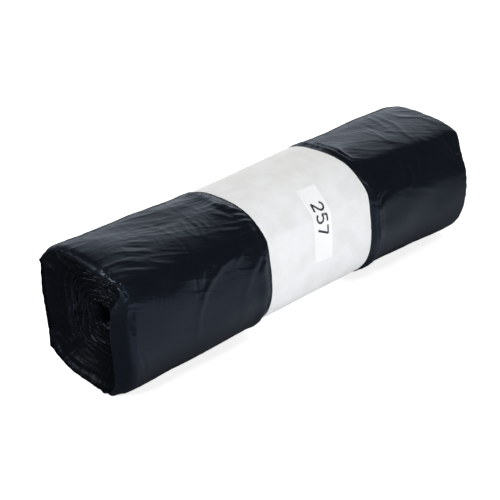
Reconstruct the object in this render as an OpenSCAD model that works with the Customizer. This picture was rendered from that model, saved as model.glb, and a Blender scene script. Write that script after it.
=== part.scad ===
// A roll of thin bin bags, wound on itself without a core and held by a paper band with a label.
// The roll lies along X on a small flat spot. The origin is under its middle, on the surface it lies on.

/* [Roll] */
// Length of the roll, along X
roll_l = 250; // [180:5:400]
// Width of the roll, along Y
roll_w = 70.5; // [50:0.5:100]
// Height of the roll as it lies
roll_h = 69; // [50:1:100]
// How much larger the section is at the band's +X edge than at its -X edge
band_swell = 1.035; // [1:0.005:1.06]
// How much larger the section is at the +X end than at the -X end
end_swell = 1.015; // [1:0.005:1.06]
// Squareness of the section at the ends, where 2 is an ellipse
end_square = 3.3; // [2:0.1:4.5]
// Squareness of the section under the band
waist_square = 2.7; // [2:0.1:4]
// How far the film is pressed flat where it lies
flat_press = 0.8; // [0.3:0.1:2]
// How far the outer film curls in at the rim
rim_curl = 2; // [0.5:0.5:6]
// Length along X over which the rim curls
rim_reach = 4; // [2:0.5:10]
// How far the -Y side of the film stands out past the turns at the -X end
over_l = 5; // [0:0.5:8]
// How far that side is folded in over the turns
over_fold = 11; // [0:1:14]
// Length along X over which it folds in
over_reach = 9; // [5:1:15]
// Step at the free end of the outermost bag
lap_step = 0.6; // [0.2:0.1:1.2]
// Angle round the section, from +Y over the top, at which the outermost bag ends
lap_angle = 330; // [290:5:350]

/* [Slack film] */
// Height of the long folds of slack film
fold_h = 0.7; // [0:0.1:1.5]
// Length along X in which a long fold comes round once
fold_l = 100; // [60:5:200]
// Height of the gathers that start at the band
gather_h = 0.7; // [0:0.1:1.2]
// Number of gathers round the roll
gathers = 12; // [6:1:14]
// Length of a gather, away from the band
gather_l = 12; // [5:1:30]
// Height of the lip of film that stands up beside the band
lip_h = 0.7; // [0:0.1:1.5]
// Distance of that lip from the band
lip_at = 4; // [2:0.5:8]
// Height of the long crease where the film turns from the top to the -Y side
crease_h = 1.2; // [0:0.1:2]

/* [Wound ends] */
// Turns that show at each end, each one a bundle of film layers
turns = 9; // [5:1:10]
// Depth of the hollow end, from the rim to the innermost turn
dish_d = 8; // [3:1:20]
// Share of the way in at which the hollow has most of its depth
dish_share = 0.6; // [0.3:0.05:1]
// Depth of the gap between one inner turn and the next
gap_d = 2.6; // [1:0.2:5]
// Depth of the same gap between the outer turns, which are pressed together
outer_gap_d = 1; // [0.4:0.2:3]
// Height of the waves in the edge of a turn
edge_wave = 0.7; // [0:0.1:1]
// Width of the eye that the winding rod leaves in the middle
eye_w = 14; // [10:1:20]
// Height of the eye
eye_h = 13; // [10:1:20]
// How far the eye narrows inside the roll
eye_narrow = 1; // [0:0.1:2]

/* [Band] */
// Width of the paper band, along X
band_l = 75; // [40:5:110]
// Thickness of the band's paper
band_t = 0.2; // [0.1:0.05:0.6]
// Clearance between the band and the film
band_gap = 0.15; // [0.1:0.05:0.4]
// How far the band draws the film in
waist_in = 1.4; // [0.8:0.1:3]
// Length of the glued overlap where the band's ends meet
band_lap = 15; // [5:1:25]
// Angle round the section at which the overlap starts
band_lap_angle = 10; // [0:5:30]

/* [Label] */
// Length of the label, round the band
label_l = 40; // [20:1:60]
// Width of the label, along X
label_w = 13; // [8:1:30]
// Thickness of the label
label_t = 0.12; // [0.08:0.02:0.3]
// Angle round the section of the label's middle
label_angle = 152.5; // [110:0.5:180]
// Distance of the label's middle from the roll's middle, along X
label_x = 2; // [-8:1:8]
// How far the label's lower end lies towards -X from its upper end
label_skew = 3; // [-5:1:5]

/* [Hidden] */

// Columns round the section, and the narrow one at the free end of the outermost bag
columns = 64;
lap_column = 0.8;

// Rows along each half of the film, from the band to the rim, and how closely they crowd there
rows = 12;
row_crowding = 0.85;

// Rows along the eye
eye_rows = 4;

// Gap in X between the band's edge and the film that stands up beside it
edge_gap = 0.5;

// Where the section sags in or bulges out, as [angle, share of the radius], and how wide that is
corner_eases = [[35, -0.01], [148, 0.035], [195, -0.02], [232, 0.06], [298, 0.04], [338, 0.075]];
ease_width = 25;

// Way of the long crease, as [share of the way from the band to the rim, angle], and how wide it is.
// Shares below 0 are on the -X half. At 0, and all along under the band, the crease stays at one angle.
crease_way = [[-1, 135], [-0.47, 137], [-0.057, 145], [0, 147.5], [0.171, 129], [0.643, 131], [1, 137]];
crease_width = 9;

// Angles between which the film stands out at the -X end, how wide that is, and the length in which it starts
over_from = 134;
over_to = 246;
over_rise = 14;
over_fall = 40;
over_blend = 25;

// Rows of one turn at the wound end: its inner edge, the gap, and the next turn's outer edge
turn_rows = [0, 0.25, 0.5];
turn_row_count = len(turn_rows);
gap_row = 1;
end_rows = turn_row_count * turns;

// Shares of the end's radius outside the first gap and inside the last one
rim_share = 0.035;
eye_share = 0.05;
turn_share = (1 - rim_share - eye_share) / (turns + 1);

// Waves in the edge of one turn and in its distance from the next, not whole numbers, so that no two turns match
edge_rates = [1.37, 2.61];
wander_rate = 2.3;
wander_share = 0.12;

// How far the eye's outline goes in and out, three and five times round
eye_lobes = [0.1, 0.05];

half_l = roll_l / 2;
half_band = band_l / 2;
film_l = half_l - half_band - edge_gap;
half_h = (roll_h + flat_press) / 2;
centre_z = roll_h - half_h;
eye_drop = 2;
band_space = band_gap + band_t;

function mix(a, b, t) = a + (b - a) * t;
function eased(t) = let (c = min(1, max(0, t))) c * c * (3 - 2 * c);
function bell(distance, width) = exp(-pow(distance / width, 2));
function angle_between(a, b) = abs((a - b + 1260) % 360 - 180);
function column_angle(i) = lap_angle + i * (360 - lap_column) / (columns - 1);
function round_trip(i) = i * (360 - lap_column) / (columns - 1) / 360;

// Section of the roll: a squarish superellipse with softened corners
function corner_share(a, k = 0) =
    k == len(corner_eases) ? 1
    : (1 - corner_eases[k][1] * bell(angle_between(a, corner_eases[k][0]), ease_width))
        * corner_share(a, k + 1);
function section_r(a, square) =
    corner_share(a)
    / pow(pow(abs(cos(a)) / (roll_w / 2), square) + pow(abs(sin(a)) / half_h, square), 1 / square);
function section_point(a, r, lowest) = [r * cos(a), max(lowest, centre_z + r * sin(a))];

// The roll swells from one end to the other, away from the surface it lies on. The band tapers evenly.
function swell(x) =
    x > half_band ? mix(band_swell, end_swell, (x - half_band) / (half_l - half_band))
    : mix(1, band_swell, max(0, (x + half_band) / band_l));

function way_to_rim(x) = sign(x) * max(0, abs(x) - half_band) / (half_l - half_band);
function crease(a, x) =
    crease_h * bell(angle_between(a, lookup(way_to_rim(x), crease_way)), crease_width);

// Waist under the band. An offset of 0 is the film, and the band's faces lie further out.
function waist_inset(a) = mix(waist_in, band_space, bell(angle_between(a, 270), ease_width));
function waist_point(a, offset) =
    section_point(a, section_r(a, waist_square) + crease(a, 0) - waist_inset(a) + offset, band_space - offset);

// Slack film outside the band, at angle a and distance d from the band
function long_folds(a, d, side) =
    let (along = 360 * d / fold_l)
    fold_h * (0.5 * sin(2 * a + along + 70 * side)
        + 0.3 * sin(5 * a - 1.44 * along + 40 * side)
        + 0.2 * sin(7 * a + 2.25 * along));
function gather(a, d, side) =
    gather_h * sin(gathers * a + 50 * sin(2 * a) + 250 * side * d / fold_l) * exp(-d / gather_l);
function lip(d) = lip_h * bell(d - lip_at, lip_at / 2);

// Rim: all of it curls in, and at the -X end the -Y side stands out past the turns and folds in over them
function rounded(left, reach) = let (t = max(0, 1 - left / reach)) 1 - sqrt(1 - t * t);
function over_share(a, side) =
    side > 0 ? 0 : eased((a % 360 - over_from) / over_rise) * eased((over_to - a % 360) / over_fall);
function curl(a, d, side) =
    rim_curl * rounded(film_l - d, rim_reach)
    + over_fold * over_share(a, side) * rounded(film_l - d, over_reach);
function over(a, d, side) =
    side > 0 ? 0
    : over_l * bell(angle_between(a, (over_from + over_to) / 2), over_fall + over_rise)
        * eased(1 - (film_l - d) / over_blend);

function film_x(a, d, side) = side * (half_band + edge_gap + d + over(a, d, side));
function film_point(i, d, side, step = lap_step) =
    let (
        a = column_angle(i),
        rise = eased(d / lip_at),
        square = mix(waist_square, end_square, eased(d / film_l)),
        slack = long_folds(a, d, side) + gather(a, d, side) + lip(d) - step * (1 - i / (columns - 1)),
        r = section_r(a, square) + crease(a, film_x(a, d, side)) - curl(a, d, side)
            + rise * (slack - fold_h / 2) - (1 - rise) * waist_inset(a)
    )
    section_point(a, r, mix(band_space, 0, rise));

// Distance from the band of each row, closest together at the band and at the rim
function row_distance(j) =
    let (t = j / rows) film_l * (t - row_crowding * sin(360 * t) / (2 * PI));
function film_row(j, side) =
    [for (i = [0 : columns - 1])
        let (
            d = row_distance(j),
            x = film_x(column_angle(i), d, side),
            p = film_point(i, d, side) * swell(x)
        )
        [x, p[0], p[1]]];

// Eye in the middle, and its rows through the roll
function eye_point(a, shrink) =
    let (lobes = 1 + eye_lobes[0] * sin(3 * a + 20) + eye_lobes[1] * sin(5 * a))
    [(eye_w / 2 - shrink) * lobes * cos(a), centre_z - eye_drop + (eye_h / 2 - shrink) * lobes * sin(a)];
function eye_row(k) =
    let (
        t = k / eye_rows,
        x = mix(-1, 1, t) * (half_l - dish_d - gap_d),
        shrink = eye_narrow * sin(180 * t)
    )
    [for (i = [0 : columns - 1]) let (p = eye_point(column_angle(i), shrink)) [x, p[0], p[1]]];

// Wound end: each row spirals in from the rim to the eye, so that row q ends where row q + 3 starts
function spiral(q) = floor(q / turn_row_count) + turn_rows[q % turn_row_count];
function edge_phase(q, i) = 360 * (floor((q + 1) / turn_row_count) + round_trip(i));
function edge_height(phase) =
    edge_wave * (0.6 * sin(edge_rates[0] * phase) + 0.4 * sin(edge_rates[1] * phase + 40));
function end_depth(q, i, share) =
    let (
        inner = eased(2 * share / dish_share - 1),
        relief = q % turn_row_count == gap_row ? gap_d : edge_wave + edge_height(edge_phase(q, i))
    )
    dish_d * sin(90 * min(1, share / dish_share)) + relief * mix(outer_gap_d / gap_d, 1, inner);
function end_point(q, i, side) =
    let (
        a = column_angle(i),
        way = spiral(q) + round_trip(i),
        wander = wander_share * sin(360 * wander_rate * way) * bell(way - turns / 2, turns / 4),
        share = rim_share + (way + wander) * turn_share,
        rim = film_point(i, film_l, side, 0) * swell(side * half_l),
        eye = eye_point(a, 0),
        p = mix(rim, eye, share)
    )
    [side * (half_l - end_depth(q, i, share)), p[0], p[1]];
function end_row(q, side) = [for (i = [0 : columns - 1]) end_point(q, i, side)];

// All rows of the skin in one list of points, and the index of each row's first point
skin_rows = [
    for (j = [rows : -1 : 0]) film_row(j, -1),
    for (j = [0 : rows]) film_row(j, 1),
    for (k = [0 : eye_rows]) eye_row(k),
    for (side = [-1, 1]) for (q = [0 : end_rows]) end_row(q, side)
];
skin_points = [for (row = skin_rows) for (p = row) p];
film_rows = 2 * (rows + 1);
eye_first = film_rows;
end_first = [eye_first + eye_rows + 1, eye_first + eye_rows + 2 + end_rows];
function at(row, i) = row * columns + i % columns;

// Two triangles between points a and b of one row and c and d of the next
function quad(a, b, c, d) = [[a, c, b], [b, c, d]];
function strip(row, next, last) =
    [for (i = [0 : last]) for (t = quad(at(row, i), at(row, i + 1), at(next, i), at(next, i + 1))) t];
function fan(apex, ring) = [for (k = [0 : len(ring) - 2]) [apex, ring[k + 1], ring[k]]];
function flipped(faces) = [for (f = faces) [f[2], f[1], f[0]]];

// Faces of a wound end, as seen on the +X side
function end_faces(first, rim_row, eye_ring) =
    let (last = columns - 1, step = turn_row_count)
    concat(
        strip(rim_row, first, last - 1),
        [for (q = [0 : end_rows - 1]) for (t = strip(first + q, first + q + 1, last - 1)) t],
        [for (q = [0 : end_rows - step - 1])
            for (t = quad(at(first + q, last), at(first + q + step, 0),
                at(first + q + 1, last), at(first + q + step + 1, 0))) t],
        fan(at(rim_row, last),
            [at(rim_row, 0), for (q = [0 : step]) at(first + q, 0), at(first, last)]),
        strip(first + end_rows, eye_ring, last - 1),
        fan(at(first + end_rows, 0),
            [at(eye_ring, 0), at(eye_ring, last),
                for (q = [end_rows : -1 : end_rows - step]) at(first + q, last)])
    );
skin_faces = concat(
    [for (row = [0 : film_rows - 2]) for (t = strip(row, row + 1, columns - 1)) t],
    flipped([for (k = [0 : eye_rows - 1])
        for (t = strip(eye_first + k, eye_first + k + 1, columns - 1)) t]),
    flipped(end_faces(end_first[0], 0, eye_first)),
    end_faces(end_first[1], film_rows - 1, eye_first + eye_rows)
);

// The slack film makes the roll a little lopsided, so everything moves to put the origin under its middle
skin_x = [for (p = skin_points) p[0]];
skin_y = [for (p = skin_points) p[1]];
middle = [(max(skin_x) + min(skin_x)) / 2, (max(skin_y) + min(skin_y)) / 2, 0];

// Outline of the band at an offset from the film, as a polygon in Y and Z
function band_outline(offset) = [for (i = [0 : columns - 1]) waist_point(column_angle(i), offset)];
band_outer = band_outline(band_space);

// A place on the band's outer face is a column number with a fraction
function column_of(a) = ((a - lap_angle + 720) % 360) * (columns - 1) / (360 - lap_column);
function on_band(c) =
    let (i = floor(c))
    mix(band_outer[i % columns], band_outer[(i + 1) % columns], c - i);
function raised(c, t) =
    let (
        along = on_band(floor(c + 0.5) + 0.5) - on_band(floor(c + 0.5) - 0.5),
        out = [along[1], -along[0]] / norm(along)
    )
    on_band(c) + t * out;
function walk(c, way, left) =
    let (
        next = way > 0 ? floor(c) + 1 : ceil(c) - 1,
        reach = norm(on_band(next) - on_band(c))
    )
    reach >= left ? c + (next - c) * left / reach : walk(next, way, left - reach);

// Places from one to another along the band, with each column between them
function stops(from, to) = [from, for (i = [floor(from) + 1 : ceil(to) - 1]) i, to];

// Points of a sheet of paper that lies on the band from height low to height high, four at each place.
// It is w wide about the place x, and the last place lies further along X than the first by skew.
function sheet_points(places, low, high, w, x, skew = 0) = [
    for (k = [0 : len(places) - 1])
        let (x_here = x + skew * (k / (len(places) - 1) - 0.5))
        for (corner = [[-1, low], [-1, high], [1, high], [1, low]])
            let (
                x_corner = x_here + corner[0] * w / 2,
                p = raised(places[k], corner[1]) * swell(x_corner)
            )
            [x_corner, p[0], p[1]]
];
function sheet_faces(places) = let (last = 4 * (len(places) - 1)) [
    [3, 2, 1, 0],
    [last, last + 1, last + 2, last + 3],
    for (k = [0 : 4 : last - 4]) for (m = [0 : 3])
        [k + m, k + (m + 1) % 4, k + 4 + (m + 1) % 4, k + 4 + m]
];

module sheet(places, low, high, w, x, skew = 0)
    polyhedron(sheet_points(places, low, high, w, x, skew), sheet_faces(places));

module bag_roll()
    color([0.1, 0.11, 0.13])
        translate(-middle)
            polyhedron(skin_points, skin_faces);

module paper_band()
    color([0.9, 0.9, 0.89])
        translate(-middle) {
            translate([-half_band, 0, 0])
                rotate([90, 0, 90])
                    linear_extrude(band_l, scale = band_swell)
                        difference() {
                            polygon(band_outer);
                            polygon(band_outline(band_gap));
                        }
            lap_start = column_of(band_lap_angle);
            lap_end = walk(lap_start, 1, band_lap);
            sheet(stops(lap_start, lap_end), -band_t / 2, band_t, band_l, 0);
        }

module label()
    color([0.97, 0.97, 0.97])
        translate(-middle) {
            label_middle = column_of(label_angle);
            label_top = walk(label_middle, -1, label_l / 2);
            label_bottom = walk(label_middle, 1, label_l / 2);
            sheet(stops(label_top, label_bottom), 0, label_t, label_w, label_x, -label_skew);
        }

bag_roll();
paper_band();
label();
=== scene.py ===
import math

import bpy
import numpy as np
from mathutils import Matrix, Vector
from mathutils.bvhtree import BVHTree

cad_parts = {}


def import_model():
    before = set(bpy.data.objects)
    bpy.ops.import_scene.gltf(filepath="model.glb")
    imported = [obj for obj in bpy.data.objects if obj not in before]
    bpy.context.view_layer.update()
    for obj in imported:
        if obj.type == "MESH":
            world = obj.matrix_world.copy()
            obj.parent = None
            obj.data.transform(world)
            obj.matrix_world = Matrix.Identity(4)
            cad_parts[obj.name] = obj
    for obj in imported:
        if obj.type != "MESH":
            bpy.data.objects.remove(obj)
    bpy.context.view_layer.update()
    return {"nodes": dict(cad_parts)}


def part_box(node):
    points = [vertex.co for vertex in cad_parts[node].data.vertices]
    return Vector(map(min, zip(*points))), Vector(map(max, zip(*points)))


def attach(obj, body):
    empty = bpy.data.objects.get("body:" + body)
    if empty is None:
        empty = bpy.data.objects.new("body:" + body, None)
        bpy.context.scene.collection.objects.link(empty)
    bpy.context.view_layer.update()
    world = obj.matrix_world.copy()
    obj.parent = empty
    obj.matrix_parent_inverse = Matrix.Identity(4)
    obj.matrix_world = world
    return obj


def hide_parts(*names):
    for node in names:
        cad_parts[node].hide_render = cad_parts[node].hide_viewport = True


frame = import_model()

MM = 0.001
NEAR, FAR = -1, 1
END_NAME = {NEAR: "near", FAR: "far"}

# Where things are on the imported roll, with x measured from the band's middle
ROLL_LOW, ROLL_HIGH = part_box("bag_roll")
BAND_LOW, BAND_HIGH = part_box("paper_band")
MIDDLE_X = (BAND_LOW.x + BAND_HIGH.x) / 2
HALF_BAND = (BAND_HIGH.x - BAND_LOW.x) / 2
HALF_L = ROLL_HIGH.x - MIDDLE_X
OVER_L = MIDDLE_X - HALF_L - ROLL_LOW.x
AXIS_Z = (ROLL_LOW.z + ROLL_HIGH.z) / 2
MEAN_R = (ROLL_HIGH.z - ROLL_LOW.z) / 2

# Angles run round the roll from +Y towards +Z, and turns do so from the lap of the film and the band
LAP_ANGLE = math.radians(330)
LAP_GAP = math.radians(0.8)
SECTION_ANGLES = 240

# Thickness of the film as it shows at the rims, and of the papers and the ink
FILM_T = 0.7 * MM
BAND_T = 0.2 * MM
LABEL_T = 0.12 * MM
INK_T = 0.05 * MM


# Numbers and noise

def unit(vectors):
    return vectors / np.linalg.norm(vectors, axis=-1, keepdims=True)


class Noise:
    """Smooth seeded noise over points in space, from about -1 to 1."""

    TO_FULL_RANGE = 1.6

    def __init__(self, seed):
        rng = np.random.default_rng(seed)
        self.order = rng.permutation(256)
        self.arrows = unit(rng.normal(size=(256, 3)))

    def __call__(self, *coordinates):
        points = np.stack(np.broadcast_arrays(*coordinates), -1).astype(float)
        cell = np.floor(points).astype(int)
        part = points - cell
        blend = part**3 * (part * (part * 6 - 15) + 10)
        total = np.zeros(points.shape[:-1])
        for corner in np.ndindex(2, 2, 2):
            at = (cell + corner) & 255
            pick = 0
            for k in range(3):
                pick = self.order[(pick + at[..., k]) & 255]
            slope = ((part - corner) * self.arrows[pick]).sum(-1)
            total += slope * np.where(corner, blend, 1 - blend).prod(-1)
        return total * self.TO_FULL_RANGE


def roll_noise(seed, x, angle, length, width):
    """Noise on the roll's surface, whose grain has a length along X and a width round the roll."""
    return Noise(seed)(x / length, MEAN_R * np.cos(angle) / width, MEAN_R * np.sin(angle) / width)


def lobed_noise(seed, angle, lobes, depth):
    """Noise round the roll's axis, with more lobes the higher their number, that changes with depth."""
    return Noise(seed)(lobes * np.cos(angle), lobes * np.sin(angle), depth)


def eased(t):
    t = np.clip(t, 0, 1)
    return t * t * (3 - 2 * t)


def bell(distance, width):
    return np.exp(-((distance / width) ** 2))


def ridge(value, sharp):
    """A crest 1 high where value crosses 0, falling off on both sides."""
    return 1 / (1 + (value / sharp) ** 2)


def rounded(left, reach):
    """A quarter circle's fall from 0 to 1 over the last stretch before an edge."""
    t = np.clip(1 - left / reach, 0, 1)
    return 1 - np.sqrt(1 - t * t)


def degrees_round(angle):
    return np.degrees(angle) % 360


def angle_off(angle, degrees):
    """Angle in degrees between each angle in radians and one direction."""
    return np.abs((np.degrees(angle) - degrees + 180) % 360 - 180)


def near_angle(angle, degrees, width):
    """From 1 at one direction to 0 well away from it."""
    return bell(angle_off(angle, degrees), width)


def smoothed(values, width, axis):
    """Values blurred along one axis, with the edges repeated past the ends."""
    reach = int(3 * width) + 1
    kernel = bell(np.arange(-reach, reach + 1), width * math.sqrt(2))
    kernel /= kernel.sum()
    pad = [(0, 0), (0, 0)]
    pad[axis] = (reach, reach)
    padded = np.pad(values, pad, mode="edge")
    return np.apply_along_axis(lambda line: np.convolve(line, kernel, "valid"), axis, padded)


def lengths_along(line):
    """Way along a line of points, from its start to each point."""
    return np.concatenate([[0], np.cumsum(np.linalg.norm(np.diff(line, axis=0), axis=1))])


def turns_round(count):
    """Angles from the lap, from just past the film's free end to just before it."""
    return np.linspace(LAP_GAP / 2, 2 * math.pi - LAP_GAP / 2, count)


# Packed surfaces

def surface_tree(node):
    mesh = frame["nodes"][node].data
    corners = [v.co - Vector((MIDDLE_X, 0, 0)) for v in mesh.vertices]
    return BVHTree.FromPolygons(corners, [tuple(p.vertices) for p in mesh.polygons])


def measured_radius(tree, stations, angles):
    """Distance from the roll's axis to a packed surface, at each station along X and angle round it."""
    reach = 2 * MEAN_R
    out = np.zeros((len(stations), len(angles)))
    for i, x in enumerate(stations):
        for j, a in enumerate(angles):
            way = Vector((0, math.cos(a), math.sin(a)))
            start = Vector((x, 0, AXIS_Z)) + way * reach
            hit = tree.ray_cast(start, -way)
            out[i, j] = reach - hit[3] if hit[0] else np.nan
    return out


def cell_and_share(value, places):
    """The number of the last place before each value, and its share of the way to the next one."""
    at = np.interp(value, places, np.arange(len(places)))
    cell = np.clip(np.floor(at).astype(int), 0, len(places) - 2)
    return cell, at - cell


class Section:
    """Radius of a packed surface as a smooth function of the place along X and the angle from the lap."""

    def __init__(self, node, stations, blur_x, blur_a):
        self.stations = stations
        self.turn = np.linspace(LAP_GAP, 2 * math.pi - LAP_GAP / 4, SECTION_ANGLES)
        radius = measured_radius(surface_tree(node), stations, self.turn + LAP_ANGLE - LAP_GAP / 2)
        self.radius = smoothed(smoothed(radius, blur_a, 1), blur_x, 0)

    def __call__(self, x, turn):
        (i, u), (j, v) = cell_and_share(x, self.stations), cell_and_share(turn, self.turn)
        r = self.radius
        near = r[i, j] * (1 - v) + r[i, j + 1] * v
        far = r[i + 1, j] * (1 - v) + r[i + 1, j + 1] * v
        return near * (1 - u) + far * u


# Meshes

def in_scene(name, data):
    """A new object in the scene, from a mesh, a lamp or a camera."""
    made = bpy.data.objects.new(name, data)
    bpy.context.scene.collection.objects.link(made)
    return made


def new_mesh(name, points, faces, material):
    mesh = bpy.data.meshes.new(name)
    mesh.from_pydata(points, [], faces)
    mesh.validate()
    mesh.materials.append(material)
    return in_scene(name, mesh)


def roll_piece(name, points, faces, material):
    """A smooth piece that rides on the roll, from points measured from the band's middle."""
    points = points.reshape(-1, 3) + np.array([MIDDLE_X, 0, 0])
    piece = new_mesh(name, points.tolist(), faces, material)
    piece.data.polygons.foreach_set("use_smooth", [True] * len(piece.data.polygons))
    piece.data.update()
    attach(piece, "root")
    return piece


def numbered(*counts):
    """The numbers of points that are laid out in rows and columns."""
    return np.arange(math.prod(counts)).reshape(counts)


def grid_faces(rows):
    """Quads of a grid, from the numbers of its points."""
    return np.stack([rows[:-1, :-1], rows[:-1, 1:], rows[1:, 1:], rows[1:, :-1]], -1).reshape(-1, 4)


def tube_faces(rings):
    """Quads between closed rings, from the numbers of their points."""
    return grid_faces(np.concatenate([rings, rings[:, :1]], 1))


def grid_border(rows):
    """The numbers of the points round the edge of a grid."""
    return np.concatenate([rows[0], rows[1:, -1], rows[-1, -2::-1], rows[-2:0:-1, 0]])


def fan_faces(tip, line):
    """Triangles from one point to a line of others."""
    line = np.array(line)
    return np.stack([np.full(len(line) - 1, tip), line[:-1], line[1:]], -1)


def sharp_edges(piece, degrees=50):
    """Keeps edges sharper than an angle from being shaded smooth."""
    piece.data.set_sharp_from_angle(angle=math.radians(degrees))


def sheet_attribute(piece, u, v, gloss):
    """Stores flat sheet coordinates in metres and the film's gloss, which carries painted shade and painted
    glints, for the materials.
    """
    layer = piece.data.attributes.new("sheet", "FLOAT_VECTOR", "POINT")
    data = np.stack([u.ravel(), v.ravel(), gloss.ravel()], -1).astype(np.float32)
    layer.data.foreach_set("vector", data.ravel())


# Material nodes

def new_material(name):
    material = bpy.data.materials.new(name)
    material.use_nodes = True
    tree = material.node_tree
    return material, tree, tree.nodes["Principled BSDF"]


def feed(tree, node, inputs):
    """Links each input of a node to a socket, or sets its value."""
    for key, value in inputs.items():
        if isinstance(value, bpy.types.NodeSocket):
            tree.links.new(value, node.inputs[key])
        else:
            node.inputs[key].default_value = value


def add_node(tree, kind, inputs=None, **settings):
    node = tree.nodes.new(kind)
    for key, value in settings.items():
        setattr(node, key, value)
    feed(tree, node, inputs or {})
    return node


def object_place(tree):
    return add_node(tree, "ShaderNodeTexCoord").outputs["Object"]


def separated(tree, vector):
    return add_node(tree, "ShaderNodeSeparateXYZ", {0: vector}).outputs


def stretched(tree, place, scale):
    return add_node(tree, "ShaderNodeMapping", {"Vector": place, "Scale": scale}).outputs[0]


def along_way(tree, place, way):
    """How far a place lies along a direction."""
    node = add_node(tree, "ShaderNodeVectorMath", {0: place, 1: way}, operation="DOT_PRODUCT")
    return node.outputs["Value"]


def mottled(tree, place, scale, detail):
    inputs = {"Vector": place, "Scale": scale, "Detail": detail}
    return add_node(tree, "ShaderNodeTexNoise", inputs).outputs[0]


def bumped(tree, height, strength, distance, **normal):
    """A normal roughened by a height."""
    inputs = {"Height": height, "Strength": strength, "Distance": distance, **normal}
    return add_node(tree, "ShaderNodeBump", inputs).outputs[0]


def colour_ramp(tree, share, colours, places=(0, 1)):
    node = add_node(tree, "ShaderNodeValToRGB", {"Fac": share})
    for element, colour, place in zip(node.color_ramp.elements, colours, places):
        element.position = place
        element.color = (*colour, 1)
    return node.outputs[0]


def remapped(tree, value, before, after, interpolation="LINEAR"):
    """A value carried from one range to another."""
    inputs = dict(zip(("Value", "From Min", "From Max", "To Min", "To Max"), (value, *before, *after)))
    return add_node(tree, "ShaderNodeMapRange", inputs, interpolation_type=interpolation).outputs[0]


def math_node(tree, operation, first, second):
    return add_node(tree, "ShaderNodeMath", {0: first, 1: second}, operation=operation).outputs[0]


def mixed(tree, kind, share, first, second):
    """One of two values or colours, or a mixture."""
    one, other = {"FLOAT": (2, 3), "RGBA": (6, 7)}[kind]
    inputs = {0: share, one: first, other: second}
    node = add_node(tree, "ShaderNodeMix", inputs, data_type=kind, clamp_factor=True)
    return next(out for out in node.outputs if out.enabled)


# Materials

FILM_COLOURS = (0.0038, 0.0048, 0.0072), (0.0052, 0.0065, 0.0096)
FILM_MIRROR_TINT = (0.66, 0.8, 1.0, 1)
FILM_ROUGHNESS = 0.14, 0.3
# Darker than the outer film's colours, as painted shade of the wound ends
TURNS_COLOUR = (0.0026, 0.003, 0.0042, 1)
TURNS_MIRROR_TINT = (0.7, 0.8, 1.0, 1)
TURNS_ROUGHNESS = 0.15, 0.35
BAND_COLOURS = (0.80, 0.80, 0.795), (0.855, 0.86, 0.87)
LABEL_COLOURS = (0.93, 0.93, 0.93), (0.95, 0.95, 0.95)
INK_COLOURS = (0.012, 0.012, 0.014), (0.03, 0.03, 0.034)
PAPER_GLOSS = 0.15


def polythene(name, mirror_tint):
    """A film material whose gloss is the sheet attribute's third value."""
    material, tree, shader = new_material(name)
    sheet = add_node(tree, "ShaderNodeAttribute", attribute_name="sheet").outputs["Vector"]
    gloss = separated(tree, sheet)["Z"]
    feed(tree, shader, {"Specular IOR Level": gloss, "Specular Tint": mirror_tint})
    return material, tree, shader, sheet


def film_material():
    """Blue-black polythene: soft gloss, scuffs that change it, and fine wrinkles."""
    material, tree, shader, sheet = polythene("polythene_film", FILM_MIRROR_TINT)
    place = object_place(tree)
    scuffs = mottled(tree, place, 45, 4)
    wrinkles = bumped(tree, mottled(tree, stretched(tree, sheet, (70, 480, 1)), 1, 3), 0.35, 0.3 * MM)
    feed(tree, shader, {
        "Base Color": colour_ramp(tree, scuffs, FILM_COLOURS),
        "Roughness": remapped(tree, scuffs, (0.3, 0.7), FILM_ROUGHNESS),
        "Normal": bumped(tree, mottled(tree, place, 900, 2), 0.1, 0.2 * MM, Normal=wrinkles),
    })
    return material


def turns_material():
    """The same film seen at its folded edges, where fine layers show as lines."""
    material, tree, shader, sheet = polythene("polythene_turns", TURNS_MIRROR_TINT)
    creases = mottled(tree, object_place(tree), 260, 3)
    layers = bumped(tree, mottled(tree, stretched(tree, sheet, (1, 45, 1)), 1, 4), 0.5, 0.6 * MM)
    feed(tree, shader, {
        "Base Color": TURNS_COLOUR,
        "Roughness": remapped(tree, creases, (0, 1), TURNS_ROUGHNESS),
        "Normal": bumped(tree, creases, 0.35, 0.6 * MM, Normal=layers),
    })
    return material


def paper_material(name, colours, roughness, fibre):
    """Paper with faint mottling and fibres."""
    material, tree, shader = new_material(name)
    place = object_place(tree)
    fibres = mottled(tree, stretched(tree, place, (600, 2200, 2200)), 1, 3)
    feed(tree, shader, {
        "Base Color": colour_ramp(tree, mottled(tree, place, 110, 5), colours, (0.35, 0.65)),
        "Roughness": roughness,
        "Specular IOR Level": PAPER_GLOSS,
        "Normal": bumped(tree, fibres, fibre, 0.1 * MM),
    })
    return material


def ink_material():
    material, tree, shader = new_material("dark_ink")
    patches = mottled(tree, object_place(tree), 900, 2)
    feed(tree, shader, {"Base Color": colour_ramp(tree, patches, INK_COLOURS), "Roughness": 0.5})
    return material


FILM = film_material()
TURNS = turns_material()
BAND_PAPER = paper_material("band_paper", BAND_COLOURS, roughness=0.7, fibre=0.25)
LABEL_PAPER = paper_material("label_paper", LABEL_COLOURS, roughness=0.55, fibre=0.1)
INK = ink_material()


# Paper band

BAND_ROWS = 64
BAND_COLUMNS = 480
BAND_STATIONS = np.linspace(0.5 * MM - HALF_BAND, HALF_BAND - 0.5 * MM, 24)
BAND_SECTION = Section("paper_band", BAND_STATIONS, 3.0, 2.0)
BAND_EDGE = 0.15 * MM
BAND_EDGE_WAVE = 0.12 * MM

# Dents and ripples, as height, length and width
DENTS = 0.16 * MM, 22 * MM, 14 * MM
RIPPLES = 0.05 * MM, 30 * MM, 5 * MM

# The crease along the band's upper shoulder, and the flatter stretches on both sides of it
BAND_CREASE, CREASE_WIDTH, CREASE_H = 147.5, 5, 0.35 * MM
FLAT_OFF, FLAT_WIDTH, FLAT_DEPTH = 16, 8, 0.12 * MM


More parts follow.
